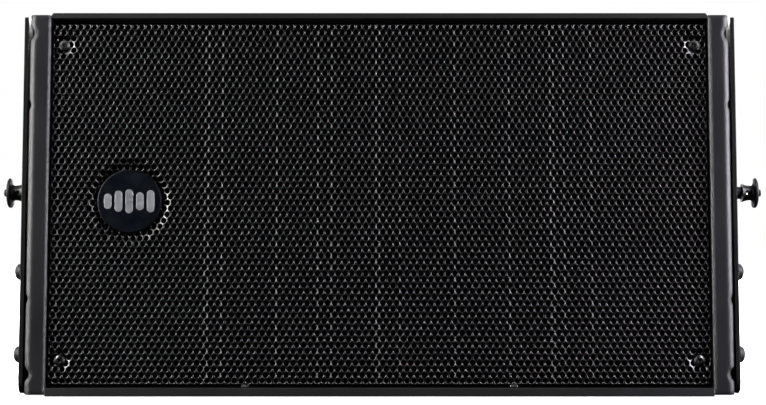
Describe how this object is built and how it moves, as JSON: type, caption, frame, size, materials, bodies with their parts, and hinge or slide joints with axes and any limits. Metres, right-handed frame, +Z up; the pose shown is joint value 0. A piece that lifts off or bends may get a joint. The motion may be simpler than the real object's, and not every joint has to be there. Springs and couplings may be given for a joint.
{
  "type": "line array speaker",
  "caption": "Black wedge-shaped line array loudspeaker with a perforated steel front, steel side plates with sliding link bars and a rear rigging link.",
  "frame": {"origin": "middle of the bottom face on which the wedge stands", "axes": "+X to the right seen from the front, +Y from the front to the back, +Z up; the front faces -Y and leans back 5 degrees"},
  "size_m": [0.5841, 0.4257, 0.2889],
  "materials": {
    "cabinet_paint": "textured",
    "cheek_paint": "satin",
    "plate_paint": "semi-gloss",
    "baffle_board": "matte",
    "grille_steel": "satin",
    "foam": "matte",
    "badge_gloss": "gloss",
    "badge_silver": "brushed",
    "zinc": "satin",
    "black_steel": "semi-gloss",
    "steel": "satin",
    "black_plastic": "satin",
    "cast_alloy": "matte",
    "magnet": "satin",
    "paper_cone": "matte",
    "copper": "satin",
    "rubber": "matte",
    "cotton": "matte",
    "diaphragm": "satin",
    "anodised": "satin",
    "board": "satin",
    "transformer": "matte",
    "capacitor": "gloss",
    "blue_plastic": "satin",
    "lens": "gloss"
  },
  "bodies": {
    "cabinet": {"cabinet_shell": "cabinet_paint", "cheek_left": "cheek_paint", "cheek_right": "cheek_paint", "baffle": "baffle_board", "rear_wall": "cabinet_paint", "grille": "grille_steel", "grille_foam": "foam", "badge_disc": "badge_gloss", "badge_rim": "badge_silver", "badge_emblem": "badge_silver", "grille_screws": "zinc", "grille_clips": "steel", "side_plate_left": "plate_paint", "side_plate_right": "plate_paint", "plate_screws": "black_steel", "plunger_barrels": "black_steel", "plunger_spring_left": "steel", "plunger_spring_right": "steel", "woofer_frame_left": "cast_alloy", "woofer_frame_right": "cast_alloy", "woofer_magnet_left": "magnet", "woofer_magnet_right": "magnet", "woofer_surround_left": "rubber", "woofer_surround_right": "rubber", "woofer_spider_left": "cotton", "woofer_spider_right": "cotton", "woofer_screws": "black_steel", "horn": "black_plastic", "wave_shaper": "black_plastic", "tweeter_driver": "cast_alloy", "amp_panel": "plate_paint", "heat_sink": "anodised", "amp_board": "board", "power_supply": "transformer", "capacitors": "capacitor", "signal_sockets": "black_plastic", "power_sockets": "blue_plastic", "status_lights": "lens", "panel_screws": "black_steel", "handles": "rubber", "rear_spine": "black_steel", "rear_pivot": "steel"},
    "link_bar_left": {"link_bar_left": "black_steel"},
    "link_bar_right": {"link_bar_right": "black_steel"},
    "plunger_left": {"plunger_pin_left": "steel", "plunger_knob_left": "black_plastic"},
    "plunger_right": {"plunger_pin_right": "steel", "plunger_knob_right": "black_plastic"},
    "cone_left": {"woofer_cone_left": "paper_cone", "woofer_dust_cap_left": "paper_cone", "voice_coil_left": "copper"},
    "cone_right": {"woofer_cone_right": "paper_cone", "woofer_dust_cap_right": "paper_cone", "voice_coil_right": "copper"},
    "tweeter_diaphragm": {"tweeter_diaphragm": "diaphragm"},
    "input_latch": {"input_latch": "steel"},
    "volume_knob": {"volume_knob": "black_plastic"},
    "preset_selector": {"preset_selector": "black_plastic"},
    "rear_link": {"rear_link": "black_steel"},
    "rear_lock_pin": {"rear_lock_pin": "steel"}
  },
  "joints": [
    {"name": "link_bar_left_slide", "type": "slide", "parent": "cabinet", "child": "link_bar_left", "axis": [0, 0.0872, 0.9962], "range_m": [0, 0.06]},
    {"name": "link_bar_right_slide", "type": "slide", "parent": "cabinet", "child": "link_bar_right", "axis": [0, 0.0872, 0.9962], "range_m": [0, 0.06]},
    {"name": "plunger_left_pull", "type": "slide", "parent": "cabinet", "child": "plunger_left", "axis": [-1, 0, 0], "range_m": [-0.0042, 0.0047], "stiffness_N_per_m": 900, "deforming": ["plunger_spring_left"]},
    {"name": "plunger_right_pull", "type": "slide", "parent": "cabinet", "child": "plunger_right", "axis": [1, 0, 0], "range_m": [-0.0089, 0], "stiffness_N_per_m": 900, "deforming": ["plunger_spring_right"]},
    {"name": "cone_left_travel", "type": "slide", "parent": "cabinet", "child": "cone_left", "axis": [0, -0.9962, 0.0872], "range_m": [-0.005, 0.005], "stiffness_N_per_m": 3000, "deforming": ["woofer_surround_left", "woofer_spider_left"]},
    {"name": "cone_right_travel", "type": "slide", "parent": "cabinet", "child": "cone_right", "axis": [0, -0.9962, 0.0872], "range_m": [-0.005, 0.005], "stiffness_N_per_m": 3000, "deforming": ["woofer_surround_right", "woofer_spider_right"]},
    {"name": "tweeter_travel", "type": "slide", "parent": "cabinet", "child": "tweeter_diaphragm", "axis": [0, -0.9962, 0.0872], "range_m": [-0.0003, 0.0003], "stiffness_N_per_m": 1500},
    {"name": "input_latch_press", "type": "slide", "parent": "cabinet", "child": "input_latch", "axis": [0, -0.9962, 0.0872], "range_m": [0, 0.003], "stiffness_N_per_m": 300},
    {"name": "volume_turn", "type": "hinge", "parent": "cabinet", "child": "volume_knob", "pos_m": [0.046, 0.17245, 0.10666], "axis": [0, 0.9962, -0.0872], "range_deg": [-150, 150]},
    {"name": "preset_turn", "type": "hinge", "parent": "cabinet", "child": "preset_selector", "pos_m": [0.094, 0.17245, 0.10666], "axis": [0, 0.9962, -0.0872], "range_deg": [-150, 150]},
    {"name": "rear_link_swing", "type": "hinge", "parent": "cabinet", "child": "rear_link", "pos_m": [0, 0.20229, 0.17231], "axis": [1, 0, 0], "range_deg": [0, 180]},
    {"name": "rear_pin_pull", "type": "slide", "parent": "cabinet", "child": "rear_lock_pin", "axis": [1, 0, 0], "range_m": [0, 0.03]}
  ]
}
